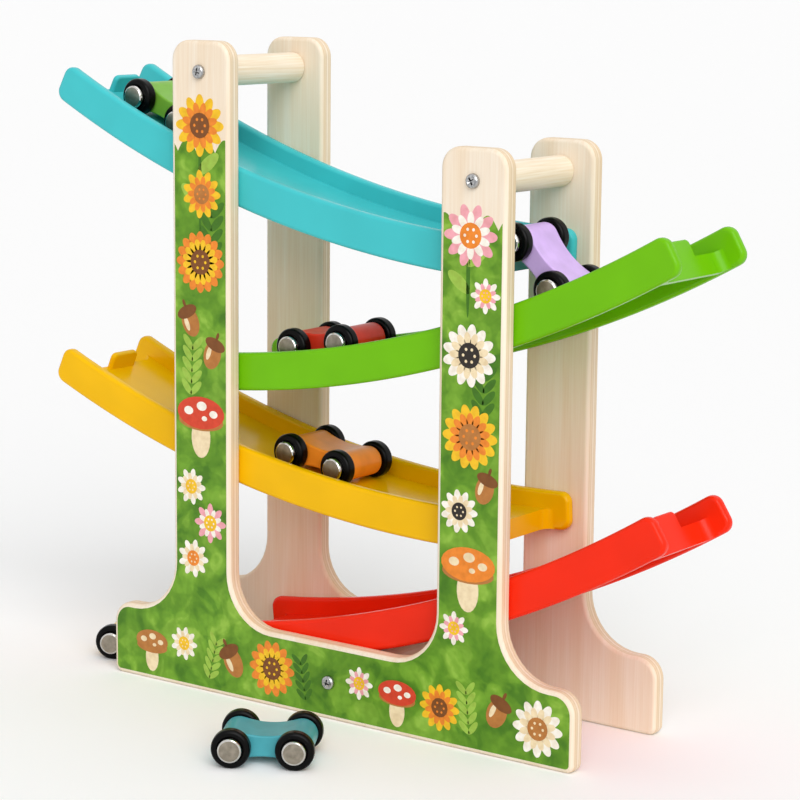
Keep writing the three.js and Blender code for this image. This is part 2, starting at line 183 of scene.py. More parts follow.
strokes = add(tree, "TexNoise", inputs={"Vector": flat, "Scale": 1 / (4 * MM), "Detail": 1})
marks = add(tree, "ValToRGB", inputs={"Fac": strokes}, stops=[(0.4, "#d5e2b6"), (0.6, "#ffffff")])
greens = add(tree, "Mix", MULTIPLY, {0: 0.5, 6: greens, 7: marks}).outputs[2]
phase = add(tree, "Math", {"operation": "MULTIPLY"}, {0: spread.outputs["X"], 1: pi / SCALLOP_PITCH})
wave = add(tree, "Math", {"operation": "SINE"}, {0: phase})
scallop = add(tree, "Math", {"operation": "ABSOLUTE"}, {0: wave})
right = add(tree, "Math", {"operation": "GREATER_THAN"}, {0: spread.outputs["X"], 1: 0})
edge = add(tree, "Math", {"operation": "MULTIPLY_ADD"}, {0: right, 1: -RIGHT_DROP, 2: MEADOW_TOP})
edge = add(tree, "Math", {"operation": "MULTIPLY_ADD"}, {0: scallop, 1: SCALLOP_RISE, 2: edge})
inside = add(tree, "Math", {"operation": "LESS_THAN"}, {0: spread.outputs["Z"], 1: edge})
face = add(tree, "Math", {"operation": "LESS_THAN"}, {0: spread.outputs["Y"], 1: -PLY / 2 + PRINT_WRAP})
printed = add(tree, "Math", {"operation": "MULTIPLY"}, {0: inside, 1: face})
tint = add(tree, "Mix", COVER, {0: printed, 6: wood, 7: greens})
tree.links.new(tint.outputs[2], shader.inputs["Base Color"])


def board(middle_y):
    bm = bmesh.new()
    half = PLY / 2
    inner, outer, end = UPRIGHT_INNER, UPRIGHT_OUTER, PANEL_END
    corners = [
        (-end, 0, SOLE_CORNER), (end, 0, SOLE_CORNER), (end, BASE_TOP, FOOT_CORNER),
        (outer, BASE_TOP, OUTER_FILLET), (outer, RIGHT_TOP, TOP_CORNER), (inner, RIGHT_TOP, TOP_CORNER),
        (inner, BASE_TOP, INNER_FILLET), (-inner, BASE_TOP, INNER_FILLET), (-inner, LEFT_TOP, TOP_CORNER),
        (-outer, LEFT_TOP, TOP_CORNER), (-outer, BASE_TOP, OUTER_FILLET), (-end, BASE_TOP, FOOT_CORNER),
    ]
    verts = [bm.verts.new((x, middle_y - half, z)) for x, z, _ in corners]
    bm.faces.new(verts)
    for vert, (_, _, radius) in zip(verts, corners):
        bmesh.ops.bevel(bm, geom=[vert], offset=radius, segments=CORNER_STEPS, profile=0.5, material=-1,
                        affect="VERTICES")
    grown = bmesh.ops.extrude_face_region(bm, geom=bm.faces[:])
    moved = [g for g in grown["geom"] if isinstance(g, bmesh.types.BMVert)]
    bmesh.ops.translate(bm, vec=(0, PLY, 0), verts=moved)
    bmesh.ops.recalc_face_normals(bm, faces=bm.faces[:])
    rim = [e for e in bm.edges if abs(e.verts[0].co.y - e.verts[1].co.y) < half]
    bmesh.ops.bevel(bm, geom=rim, offset=EDGE_ROUND, segments=ROUND_STEPS, profile=0.5, material=-1,
                    affect="EDGES")
    return bm


piece("front_board", board(0), "stand", front_ply, ["front_panel"])
piece("rear_board", board(REAR_Y), "stand", rear_ply, ["rear_panel"])

# Garden print on the front panel. Flowers, toadstools, acorns and leaves in opaque inks
# over the meadow, each colour laid down as a film a few hundredths of a millimetre thick.
INK_FILM = 0.02 * MM
INK_LAP = 1.2
INKS = {
    "yellow": "#f6c421", "orange": "#ef8a2b", "red": "#d8452a", "pink": "#f3a9b4", "white": "#fbf6ec",
    "cream": "#f3dfb8", "brown": "#7d4a1e", "tan": "#b9793a", "black": "#2b2420", "leaf": "#3f7313",
    "lime": "#9cc24a",
}
ink_materials = []
for ink_name, ink_color in INKS.items():
    material, tree, shader = new_material(f"screen ink {ink_name}", roughness=0.42, gloss=0.3)
    place = add(tree, "TexCoord").outputs["Object"]
    # Ink lies unevenly over the grain, in soft patches about 3 mm across.
    patch = add(tree, "TexNoise", inputs={"Vector": place, "Scale": 1 / (3 * MM), "Detail": 2})
    tone = add(tree, "ValToRGB", inputs={"Fac": patch}, stops=[(0.3, "#e6ddd0"), (0.65, "#ffffff")])
    tint = add(tree, "Mix", MULTIPLY, {0: 0.7, 6: linear(ink_color), 7: tone})
    tree.links.new(tint.outputs[2], shader.inputs["Base Color"])
    relief = add(tree, "Bump", inputs={"Height": patch, "Distance": 0.02 * MM, "Strength": 0.6})
    tree.links.new(relief.outputs[0], shader.inputs["Normal"])
    ink_materials.append(material)

motifs = bmesh.new()


def dab(x, z, width, height, layer, ink, turn=0, sides=22):
    y = -PLY / 2 - INK_FILM * (layer + 0.5)
    place = Matrix.Translation((x * MM, y, z * MM)) @ Matrix.Rotation(radians(-turn), 4, "Y")
    lie = Matrix.Rotation(pi / 2, 4, "X")
    size = Matrix.Diagonal((width / 2 * MM, height / 2 * MM, INK_FILM * INK_LAP, 1))
    made = bmesh.ops.create_cone(motifs, cap_ends=True, segments=sides, radius1=1, radius2=1, depth=1,
                                 matrix=place @ lie @ size)
    for face in {f for v in made["verts"] for f in v.link_faces}:
        face.material_index = list(INKS).index(ink)


def petals(x, z, reach, count, width, length, layer, ink, start=0):
    for i in range(count):
        angle = start + 360 / count * i
        dab(x + reach * cos(radians(angle)), z + reach * sin(radians(angle)),
            length, width, layer, ink, angle)


def flower(x, z, size, outer, inner, centre, count=12):
    petals(x, z, size * 0.66, count, size * 0.36, size * 0.7, 1, outer)
    petals(x, z, size * 0.5, count, size * 0.26, size * 0.5, 2, inner, 180 / count)
    dab(x, z, size * 0.82, size * 0.82, 3, centre)
    petals(x, z, size * 0.22, 6, size * 0.1, size * 0.1, 4, inner)


def stalk(x, z, height, leaf):
    dab(x, z + height / 2, 2, height, 0, "leaf")
    for i, lift in enumerate((0.3, 0.62)):
        lean = 38 if i % 2 else 142
        dab(x + leaf * 0.42 * cos(radians(lean)), z + height * lift + leaf * 0.3,
            leaf, leaf * 0.4, 0, "lime", lean)


def toadstool(x, z, size, cap, spot):
    dab(x, z - size * 0.3, size * 0.42, size * 0.72, 1, "cream")
    dab(x, z - size * 0.02, size, size * 0.34, 2, "tan")
    dab(x, z + size * 0.12, size * 1.04, size * 0.56, 3, cap)
    for dx, dz, spread in ((-0.27, 0.14, 0.2), (0.02, 0.24, 0.22), (0.28, 0.12, 0.18), (0.08, 0.03, 0.12)):
        dab(x + dx * size, z + dz * size, spread * size, spread * size * 0.72, 4, spot)


def acorn(x, z, size, turn):
    lean = radians(turn)
    dab(x, z, size * 0.72, size, 1, "tan", turn)
    dab(x - size * 0.16 * cos(lean), z - size * 0.16 * sin(lean), size * 0.18, size * 0.5, 2, "cream", turn)
    dab(x - size * 0.36 * sin(lean), z + size * 0.36 * cos(lean), size * 0.86, size * 0.42, 3, "brown", turn)
    dab(x - size * 0.66 * sin(lean), z + size * 0.66 * cos(lean), size * 0.12, size * 0.26, 3, "brown", turn)


def sprig(x, z, length, turn, ink):
    lean = radians(turn)
    for i in range(5):
        step = length * (i + 0.5) / 5
        for branch in (-42, 42):
            angle = turn + 90 + branch
            reach = length * 0.16
            dab(x - step * sin(lean) + reach * cos(radians(angle)),
                z + step * cos(lean) + reach * sin(radians(angle)),
                length * 0.34, length * 0.13, 0, ink, angle)


stalk(-75, 214, 46, 15)
flower(-75, 264, 14, "yellow", "orange", "brown")
flower(-74, 233, 11, "yellow", "orange", "tan", 11)
sprig(-70, 196, 30, -4, "leaf")
flower(-75, 202, 14, "orange", "yellow", "brown", 16)
acorn(-81, 174, 14, 24)
acorn(-68, 160, 14, -20)
sprig(-81, 138, 26, -3, "lime")
toadstool(-75, 129, 27, "red", "white")
flower(-81, 97, 8.5, "white", "cream", "yellow", 9)
flower(-69.6, 81, 9.3, "pink", "white", "yellow", 8)
flower(-80, 63, 9, "white", "cream", "orange", 9)
stalk(73, 190, 36, 14)
flower(74, 225, 13.5, "pink", "white", "orange", 10)
flower(82, 200, 7.5, "white", "pink", "yellow", 8)
flower(74, 174, 13.5, "white", "cream", "black", 13)
sprig(81, 146, 26, -3, "leaf")
flower(75, 139, 14, "yellow", "orange", "tan", 14)
acorn(83, 117, 13, -18)
flower(70, 106, 9.5, "white", "cream", "black", 11)
toadstool(75, 80, 27, "orange", "cream")
flower(68, 54, 7.5, "white", "pink", "yellow", 8)
toadstool(-106, 16.5, 19, "tan", "cream")
flower(-86, 21, 8, "white", "cream", "yellow", 9)
sprig(-71, 5, 21, -14, "lime")
acorn(-56, 17, 15, 30)
flower(-33, 18, 13, "orange", "yellow", "brown", 14)
sprig(-13, 5, 20, 10, "leaf")
flower(17, 20, 7.5, "white", "pink", "yellow", 8)
toadstool(38, 17, 20, "red", "white")
flower(61, 17, 10.5, "yellow", "orange", "brown", 12)
sprig(77, 6, 22, 6, "lime")
acorn(91, 20, 14, -26)
flower(112, 17, 12.5, "white", "cream", "tan", 12)
piece("garden_print", motifs, "stand", ink_materials)

# Dowels. Three sanded birch rods that keep the panels apart, butted against their inner
# faces and held by a screw at each end.
DOWEL_RADIUS = 7 * MM
DOWEL_CHAMFER = 0.6 * MM
DOWEL_SIDES = 48
FIXINGS = {"left": (-75 * MM, 288 * MM), "right": (75 * MM, 248 * MM), "base": (0, 17.5 * MM)}

dowel_wood, tree, shader = new_material("birch dowel sanded", roughness=0.55)
place = add(tree, "TexCoord").outputs["Object"]
along = add(tree, "Mapping", inputs={
    "Vector": place, "Scale": (1 / (0.9 * MM), 1 / (30 * MM), 1 / (0.9 * MM))})
# Straight fibres run along the rod, about 0.9 mm apart.
fibre = add(tree, "TexNoise", inputs={"Vector": along, "Scale": 1, "Detail": 3})
tone = add(tree, "ValToRGB", inputs={"Fac": fibre}, stops=[(0.3, "#e9d4b4"), (0.7, "#f7ead6")])
tree.links.new(tone.outputs[0], shader.inputs["Base Color"])
relief = add(tree, "Bump", inputs={"Height": fibre, "Distance": 0.05 * MM, "Strength": 0.6})
tree.links.new(relief.outputs[0], shader.inputs["Normal"])


def turned(profile, segments):
    bm = bmesh.new()
    verts = [bm.verts.new((radius, y, 0)) for radius, y in profile]
    edges = [bm.edges.new(pair) for pair in zip(verts, verts[1:])]
    bmesh.ops.spin(bm, geom=verts + edges, cent=(0, 0, 0), axis=(0, 1, 0), angle=2 * pi, steps=segments,
                   use_merge=True)
    bmesh.ops.remove_doubles(bm, verts=bm.verts[:], dist=1e-6)
    bmesh.ops.recalc_face_normals(bm, faces=bm.faces[:])
    return bm


dowel_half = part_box("base_dowel")[1].y - MID_Y
for name, (x, z) in FIXINGS.items():
    bm = turned([
        (0, -dowel_half), (DOWEL_RADIUS - DOWEL_CHAMFER, -dowel_half),
        (DOWEL_RADIUS, DOWEL_CHAMFER - dowel_half), (DOWEL_RADIUS, dowel_half - DOWEL_CHAMFER),
        (DOWEL_RADIUS - DOWEL_CHAMFER, dowel_half), (0, dowel_half),
    ], DOWEL_SIDES)
    bmesh.ops.translate(bm, vec=(x, MID_Y, z), verts=bm.verts[:])
    piece(f"{name}_rod", bm, "stand", dowel_wood, [f"{name}_dowel"])

# Screws. Zinc-plated cross-head screws with a low pan head, driven through each panel into
# the dowel's end. The recess is a cross that narrows towards its bottom.
HEAD_HEIGHT = 2.2 * MM
HEAD_RADIUS = 3.3 * MM
HEAD_SIDES = 36
CROWN_RADIUS = 2.05 * MM
CROWN_DROP = 0.06 * MM
SHANK_RADIUS = 1.5 * MM
SHANK_LENGTH = 24 * MM
CROSS_ARM = 1.75 * MM
CROSS_HALF = 0.42 * MM
CROSS_DEPTH = 1.3 * MM
CROSS_TAPER = 0.45
SEAT_GAP = 0.05 * MM
# Half section from the crown outwards over the head, then down the shank.
SCREW_PROFILE = [
    (2.7 * MM, 1.85 * MM), (3.1 * MM, 1.4 * MM), (HEAD_RADIUS, 0.8 * MM), (HEAD_RADIUS, 0.12 * MM),
    (3.18 * MM, 0), (SHANK_RADIUS, 0), (SHANK_RADIUS, -SHANK_LENGTH),
]

zinc, tree, shader = new_material("zinc-plated steel", roughness=0.2)
shader.inputs["Metallic"].default_value = 1
place = add(tree, "TexCoord").outputs["Object"]
# Plating has a fine uneven crystal, drawn at 0.8 mm so that it shows.
crystal = add(tree, "TexNoise", inputs={"Vector": place, "Scale": 1 / (0.8 * MM), "Detail": 2})
tone = add(tree, "ValToRGB", inputs={"Fac": crystal}, stops=[(0.3, "#8b8c8f"), (0.7, "#c3c3c2")])
tree.links.new(tone.outputs[0], shader.inputs["Base Color"])
relief = add(tree, "Bump", inputs={"Height": crystal, "Distance": 0.02 * MM, "Strength": 0.6})
tree.links.new(relief.outputs[0], shader.inputs["Normal"])

for side_name, face_y, outward in (("front", -PLY / 2, -1), ("rear", REAR_Y + PLY / 2, 1)):
    for name, (x, z) in FIXINGS.items():
        bm = bmesh.new()
        arm, half = CROSS_ARM, CROSS_HALF
        cross = [(arm, -half), (arm, half), (half, half), (half, arm), (-half, arm), (-half, half),
                 (-arm, half), (-arm, -half), (-half, -half), (-half, -arm), (half, -arm), (half, -half)]
        rim = [bm.verts.new((a, b, HEAD_HEIGHT)) for a, b in cross]
        mouth = [bm.edges.new(pair) for pair in zip(rim, rim[1:] + rim[:1])]
        well = bmesh.ops.extrude_edge_only(bm, edges=mouth)["geom"]
        well_verts = [g for g in well if isinstance(g, bmesh.types.BMVert)]
        bmesh.ops.scale(bm, vec=(CROSS_TAPER, CROSS_TAPER, 1), verts=well_verts)
        bmesh.ops.translate(bm, vec=(0, 0, -CROSS_DEPTH), verts=well_verts)
        bmesh.ops.contextual_create(bm, geom=well_verts)
        lift = Matrix.Translation((0, 0, HEAD_HEIGHT - CROWN_DROP))
        ring = bmesh.ops.create_circle(bm, segments=HEAD_SIDES, radius=CROWN_RADIUS, matrix=lift)["verts"]
        loop = list({e for v in ring for e in v.link_edges})
        bmesh.ops.bridge_loops(bm, edges=mouth + loop)
        for radius, height in SCREW_PROFILE:
            grown = bmesh.ops.extrude_edge_only(bm, edges=loop)["geom"]
            loop = [g for g in grown if isinstance(g, bmesh.types.BMEdge)]
            for vert in [g for g in grown if isinstance(g, bmesh.types.BMVert)]:
                vert.co.xy = vert.co.xy.normalized() * radius
                vert.co.z = height
        bmesh.ops.contextual_create(bm, geom=list({v for e in loop for v in e.verts}) + loop)
        bmesh.ops.recalc_face_normals(bm, faces=bm.faces[:])
        lie = Matrix.Rotation(pi / 2 if outward < 0 else -pi / 2, 4, "X")
        # Each screw comes to rest at its own angle.
        spun = Matrix.Rotation(radians(20 + 37 * len(name)), 4, "Z")
        seat = Matrix.Translation((x, face_y + outward * SEAT_GAP, z))
        bmesh.ops.transform(bm, matrix=seat @ lie @ spun, verts=bm.verts[:])
        piece(f"{side_name}_{name}_fixing", bm, "stand", zinc,
              [f"{side_name}_{name}_screw"], 30)

# Ramps. One gloss ABS moulding in four colours: two rails with a floor between them, bent
# to a shallow arc, a flange under each end of the floor and a stop tab at the high end.
# Pegs on the rails plug into the panels, so each ramp sits at its own tilt.
RAMP_RADIUS = 568 * MM
HIGH_REACH = 133.5 * MM
LOW_REACH = 130.5 * MM
RAMP_WIDTH = 59.4 * MM
RAIL_HEIGHT = 17.5 * MM
RAIL_THICKNESS = 5 * MM
RAIL_CORNER = 5 * MM
RAIL_EDGE_ROUND = 1.8 * MM
FLOOR_HEIGHT = 9.5 * MM
FLOOR_THICKNESS = 2.5 * MM
FLANGE_THICKNESS = 2.5 * MM
FLANGE_FOOT = 0.4 * MM
FLANGE_FILLET = 4.5 * MM
FLOOR_SETBACK = 12 * MM
HIGH_FLOOR_END = HIGH_REACH - FLOOR_SETBACK
LOW_FLOOR_END = LOW_REACH - FLOOR_SETBACK
TAB_WIDTH = 17 * MM
TAB_THICKNESS = 3 * MM
TAB_CORNER = 2.6 * MM
TAB_ROUND = 1 * MM
RUN_RADIUS = RAMP_RADIUS - FLOOR_HEIGHT
PEG_SHIFT = 44.3 * MM
PEG_PITCH = 153 * MM
PEG_HEIGHT = 8 * MM
LOWEST_PEGS = 41.8 * MM
RAMP_RISE = 61.8 * MM
BEND_STEP = 4 * MM
FILLET_STEPS = 8
SHARP_TURN = radians(50)
# Level from the bottom, tilt in degrees, side of the high end and colour.
RAMPS = {
    "red": (0, 19.0, 1, "#f42b0d"), "yellow": (1, 10.55, -1, "#f3ba00"),
    "green": (2, 16.2, 1, "#70bd08"), "blue": (3, 14.55, -1, "#46c3c8"),
}


# Each round names the axis its edges follow (None for all), which edges, radius and steps.
def bar(low, high, rounds):
    bm = bmesh.new()
    size = [b - a for a, b in zip(low, high)]
    middle = [(a + b) / 2 for a, b in zip(low, high)]
    bmesh.ops.create_cube(bm, size=1, matrix=Matrix.Translation(middle) @ Matrix.Diagonal((*size, 1)))
    for axis, keep, radius, segments in rounds:
        chosen = []
        for e in bm.edges:
            run = (e.verts[1].co - e.verts[0].co).normalized()
            turning = len(e.link_faces) == 2 and e.calc_face_angle() > SHARP_TURN
            halfway = (e.verts[0].co + e.verts[1].co) / 2
            if turning and (axis is None or abs(run[axis]) > 0.99) and keep(halfway):
                chosen.append(e)
        bmesh.ops.bevel(bm, geom=chosen, offset=radius, segments=segments, profile=0.5,
                        material=-1, affect="EDGES")
    return bm


def fuse(shells):
    made = []
    for bm in shells:
        mesh = bpy.data.meshes.new("shell")
        bm.to_mesh(mesh)
        bm.free()
        made.append(bpy.data.objects.new("shell", mesh))
        bpy.context.scene.collection.objects.link(made[-1])
    for other in made[1:]:
        joint = made[0].modifiers.new("fuse", "BOOLEAN")
        joint.operation = "UNION"
        joint.solver = "EXACT"
        joint.object = other
    bm = bmesh.new()
    bm.from_mesh(made[0].evaluated_get(bpy.context.evaluated_depsgraph_get()).to_mesh())
    for each in made:
        bpy.data.objects.remove(each)
    return bm


def everywhere(point):
    return True


def near_top(point):
    return point.z > RAIL_HEIGHT / 2


def extruded(corners, axis, low, high):
    bm = bmesh.new()
    face = bm.faces.new([bm.verts.new((a, low, b) if axis == 1 else (a, b, low)) for a, b in corners])
    grown = bmesh.ops.extrude_face_region(bm, geom=[face])
    moved = [g for g in grown["geom"] if isinstance(g, bmesh.types.BMVert)]
    bmesh.ops.translate(bm, vec=(0, high - low, 0) if axis == 1 else (0, 0, high - low), verts=moved)
    bmesh.ops.recalc_face_normals(bm, faces=bm.faces[:])
    return bm


rail_in = RAMP_WIDTH / 2 - RAIL_THICKNESS
# Shells reach 1 mm into each other, and near-flush faces stand a sliver apart, so they fuse.
sunk = 1 * MM
sliver = 0.03 * MM
weld = 0.005 * MM
floor_half = rail_in + sunk
shells = []
for rail_side in (-1, 1):
    ys = sorted((rail_side * rail_in, rail_side * RAMP_WIDTH / 2))
    shells.append(bar((-HIGH_REACH, ys[0], 0), (LOW_REACH, ys[1], RAIL_HEIGHT), [
        (1, everywhere, RAIL_CORNER, 8), (None, everywhere, RAIL_EDGE_ROUND, 4),
    ]))
flange = FLANGE_THICKNESS
under = FLOOR_HEIGHT - FLOOR_THICKNESS
shells.append(extruded([
    (-HIGH_FLOOR_END, FLANGE_FOOT), (flange - HIGH_FLOOR_END, FLANGE_FOOT), (flange - HIGH_FLOOR_END, under),
    (LOW_FLOOR_END - flange, under), (LOW_FLOOR_END - flange, FLANGE_FOOT), (LOW_FLOOR_END, FLANGE_FOOT),
    (LOW_FLOOR_END, FLOOR_HEIGHT), (-HIGH_FLOOR_END, FLOOR_HEIGHT),
], 1, -floor_half, floor_half))
for end_side, end in ((-1, HIGH_FLOOR_END), (1, LOW_FLOOR_END)):
    for rail_side in (-1, 1):
        # The flange runs into each rail with a hollow corner on its outer side.
        corner = [(end - sunk, rail_in - FLANGE_FILLET), (end - sunk, rail_in + sunk),
                  (end + FLANGE_FILLET, rail_in + sunk)]
        for i in range(FILLET_STEPS + 1):
            angle = pi / 2 * (1 + i / FILLET_STEPS)
            corner.append((end + sliver + FLANGE_FILLET + FLANGE_FILLET * cos(angle),
                           rail_in + sliver - FLANGE_FILLET + FLANGE_FILLET * sin(angle)))
        corner = [(end_side * a, rail_side * b) for a, b in corner]
        shells.append(extruded(corner, 2, FLANGE_FOOT + sliver, FLOOR_HEIGHT - sliver))
shells.append(bar((-HIGH_FLOOR_END - sliver, -TAB_WIDTH / 2, FLOOR_HEIGHT / 2),
                  (TAB_THICKNESS - HIGH_FLOOR_END, TAB_WIDTH / 2, RAIL_HEIGHT),
                  [(0, near_top, TAB_CORNER, 6), (None, near_top, TAB_ROUND, 3)]))
moulding = fuse(shells)
ramp_length = HIGH_REACH + LOW_REACH
cuts = ceil(ramp_length / BEND_STEP)
for i in range(1, cuts):
    cut_x = ramp_length * i / cuts - HIGH_REACH
    bmesh.ops.bisect_plane(moulding, geom=moulding.verts[:] + moulding.edges[:] + moulding.faces[:],
                           plane_co=(cut_x, 0, 0), plane_no=(1, 0, 0))
bmesh.ops.remove_doubles(moulding, verts=moulding.verts[:], dist=weld)


def bend(along, up):
    angle = along / RUN_RADIUS
    return (RAMP_RADIUS - up) * sin(angle), -(RAMP_RADIUS - up) * cos(angle)


for vert in moulding.verts:
    vert.co.x, vert.co.z = bend(vert.co.x, vert.co.z)
moulding_mesh = bpy.data.meshes.new("moulding")
moulding.to_mesh(moulding_mesh)
moulding.free()

pegs = [Vector((x, 0, z)) for x, z in (bend(PEG_SHIFT + end * PEG_PITCH / 2, PEG_HEIGHT) for end in (-1, 1))]
peg_middle = (pegs[0] + pegs[1]) / 2


# Gloss ABS straight from the mould: even colour through the wall, a slight orange-peel
# ripple about 2.5 mm across and fine scuffs on the running floor.
def abs_plastic(name, color):
    material, tree, shader = new_material(name, roughness=0.22, ior=1.54, gloss=0.13)
    place = add(tree, "TexCoord").outputs["Object"]
    ripple = add(tree, "TexNoise", inputs={"Vector": place, "Scale": 1 / (2.5 * MM), "Detail": 1})
    cloud = add(tree, "TexNoise", inputs={"Vector": place, "Scale": 1 / (30 * MM), "Detail": 2})
    tone = add(tree, "ValToRGB", inputs={"Fac": cloud}, stops=[(0.35, "#f1f1f1"), (0.65, "#ffffff")])
    tint = add(tree, "Mix", MULTIPLY, {0: 0.6, 6: linear(color), 7: tone})
    tree.links.new(tint.outputs[2], shader.inputs["Base Color"])
    scuffs = add(tree, "TexNoise", inputs={"Vector": place, "Scale": 1 / (6 * MM), "Detail": 4})
    gloss = add(tree, "MapRange", inputs={"Value": scuffs, "To Min": 0.16, "To Max": 0.3})
    tree.links.new(gloss.outputs[0], shader.inputs["Roughness"])
    relief = add(tree, "Bump", inputs={"Height": ripple, "Distance": 0.015 * MM, "Strength": 0.6})
    tree.links.new(relief.outputs[0], shader.inputs["Normal"])
    return material


for name, (level, tilt, high_side, color) in RAMPS.items():
    turn = (Matrix.Rotation(-high_side * radians(tilt), 4, "Y")
            @ Matrix.Rotation(pi if high_side > 0 else 0, 4, "Z"))
    centre = Vector((0, MID_Y, LOWEST_PEGS + level * RAMP_RISE)) - turn @ peg_middle
    bm = bmesh.new()
    bm.from_mesh(moulding_mesh)
    bmesh.ops.transform(bm, matrix=Matrix.Translation(centre) @ turn, verts=bm.verts[:])
    piece(f"{name}_slide", bm, "stand",
          abs_plastic(f"gloss ABS {name}", color), [f"{name}_ramp"], 30)

# Car bodies. Beech blocks with two round ends and a hollowed waist in side view, sanded
# over at the edges, bored for the axles and dipped in a satin colour.
WHEELBASE = 27.5 * MM
BODY_HALF = 10.9 * MM
BODY_END = 6.7 * MM
BODY_WAIST = 4.6 * MM
BODY_EDGE_ROUND = 0.9 * MM
BODY_ROUND_STEPS = 3
END_STEPS = 9
WAIST_STEPS = 6
CARS = {
    "green": "#7cb83c", "red": "#ec3a22", "orange": "#fd9226", "purple": "#dfbcfb", "teal": "#48a5b0",
    "yellow": "#f2c02a",
}
joints = {j["name"]: j for j in frame["record"]["behaviour"]["joints"]}


def car_place(name):
    front, rear = (joints[f"{name}_car_{end}_wheels_turn"] for end in ("front", "rear"))
    ahead = (Vector(front["pos_m"]) - Vector(rear["pos_m"])).normalized()
    axle = Vector(front["axis"]).normalized()
    up = ahead.cross(axle)
    if up.z < 0:
        axle, up = -axle, -up
    turn = Matrix((ahead, axle, up)).transposed().to_4x4()
    return Matrix.Translation((Vector(front["pos_m"]) + Vector(rear["pos_m"])) / 2) @ turn


def car_block():
    half = WHEELBASE / 2
    drop = BODY_END - BODY_WAIST
    hollow = (half ** 2 - drop * (BODY_END + BODY_WAIST)) / (2 * drop)
    lean = atan2(half, hollow + BODY_WAIST)
    bm = bmesh.new()
    outline = []
    for i in range(2 * END_STEPS + 1):
        angle = (pi / 2 + lean) * (i / END_STEPS - 1)
        outline.append((half + BODY_END * cos(angle), BODY_END * sin(angle)))
    for i in range(1, 2 * WAIST_STEPS):
        angle = -pi / 2 + lean * (1 - i / WAIST_STEPS)
        outline.append((hollow * cos(angle), hollow + BODY_WAIST + hollow * sin(angle)))
    outline += [(-x, -z) for x, z in outline]
    face = bm.faces.new([bm.verts.new((x, -BODY_HALF, z)) for x, z in outline])
    grown = bmesh.ops.extrude_face_region(bm, geom=[face])
    moved = [g for g in grown["geom"] if isinstance(g, bmesh.types.BMVert)]
    bmesh.ops.translate(bm, vec=(0, 2 * BODY_HALF, 0), verts=moved)
    bmesh.ops.recalc_face_normals(bm, faces=bm.faces[:])
    rim = [e for e in bm.edges if abs(e.verts[0].co.y - e.verts[1].co.y) < BODY_HALF]
    bmesh.ops.bevel(bm, geom=rim, offset=BODY_EDGE_ROUND, segments=BODY_ROUND_STEPS, profile=0.5,
                    material=-1, affect="EDGES")
    return bm


# Satin paint dipped over beech: the pores still show as short fine flecks 0.7 mm apart.
def painted_beech(name, color):
    material, tree, shader = new_material(name, roughness=0.34, gloss=0.25)
    place = add(tree, "TexCoord").outputs["Object"]
    flecks = add(tree, "TexNoise", inputs={
        "Vector": place, "Scale": 1 / (0.7 * MM), "Detail": 2, "Roughness": 0.7})
    cloud = add(tree, "TexNoise", inputs={"Vector": place, "Scale": 1 / (9 * MM), "Detail": 2})
    tone = add(tree, "ValToRGB", inputs={"Fac": cloud}, stops=[(0.3, "#e2e2e2"), (0.7, "#ffffff")])
    tint = add(tree, "Mix", MULTIPLY, {0: 0.7, 6: linear(color), 7: tone})
    tree.links.new(tint.outputs[2], shader.inputs["Base Color"])
    relief = add(tree, "Bump", inputs={"Height": flecks, "Distance": 0.03 * MM, "Strength": 0.6})
    tree.links.new(relief.outputs[0], shader.inputs["Normal"])
    return material


for name, color in CARS.items():
    bm = car_block()
    bmesh.ops.transform(bm, matrix=car_place(name), verts=bm.verts[:])
    piece(f"{name}_block", bm, f"{name}_car",
          painted_beech(f"painted beech {name}", color), [f"{name}_car_body"])

# Wheelsets. A steel axle with a turned hub pressed on each end. The hub's outer face is
# left satin from the lathe and coloured a darker brownish grey than bare steel as a painted
# dark reflection, and its bevel is polished bright.
AXLE_RADIUS = 1.5 * MM
HUB_RADIUS = 5.4 * MM
HUB_INNER = 11.2 * MM
HUB_OUTER = 19.5 * MM
HUB_FACE = 4.45 * MM
HUB_CHAMFER = 0.4 * MM
HUB_SIDES = 40
FLAT_FACE = 0.995
# The polished bevel, as radius and setback from the outer face.
HUB_BEVEL = [
    (4.75 * MM, 0.05 * MM), (5.1 * MM, 0.35 * MM), (5.3 * MM, 0.8 * MM), (HUB_RADIUS, 1.4 * MM),
]

satin_and_painted_reflection, tree, shader = new_material("turned steel satin and painted reflection", roughness=0.36)
shader.inputs["Metallic"].default_value = 1
radius = add(tree, "Attribute", {"attribute_name": "turning_radius"}).outputs["Fac"]
# Tool marks are rings; real ones are 0.1 mm apart and drawn here at 0.45 mm so they show.
turns = add(tree, "Math", {"operation": "MULTIPLY"}, {0: radius, 1: 2 * pi / (0.45 * MM)})
rings = add(tree, "Math", {"operation": "SINE"}, {0: turns})
place = add(tree, "TexCoord").outputs["Object"]
smear = add(tree, "TexNoise", inputs={"Vector": place, "Scale": 1 / (2.5 * MM), "Detail": 2})
# Painted dark reflection: the satin face takes a brownish grey darker than bare steel, standing in for the
# dark surroundings it reflects.
tone = add(tree, "ValToRGB", inputs={"Fac": smear}, stops=[(0.3, "#857d71"), (0.7, "#a0988b")])
tree.links.new(tone.outputs[0], shader.inputs["Base Color"])
relief = add(tree, "Bump", inputs={"Height": rings, "Distance": 0.008 * MM, "Strength": 0.6})
tree.links.new(relief.outputs[0], shader.inputs["Normal"])

bright, tree, shader = new_material("turned steel polished", roughness=0.12)
shader.inputs["Metallic"].default_value = 1
place = add(tree, "TexCoord").outputs["Object"]
smear = add(tree, "TexNoise", inputs={"Vector": place, "Scale": 1 / (3 * MM), "Detail": 2})
tone = add(tree, "ValToRGB", inputs={"Fac": smear}, stops=[(0.3, "#b9b6b1"), (0.7, "#d6d4d0")])
tree.links.new(tone.outputs[0], shader.inputs["Base Color"])


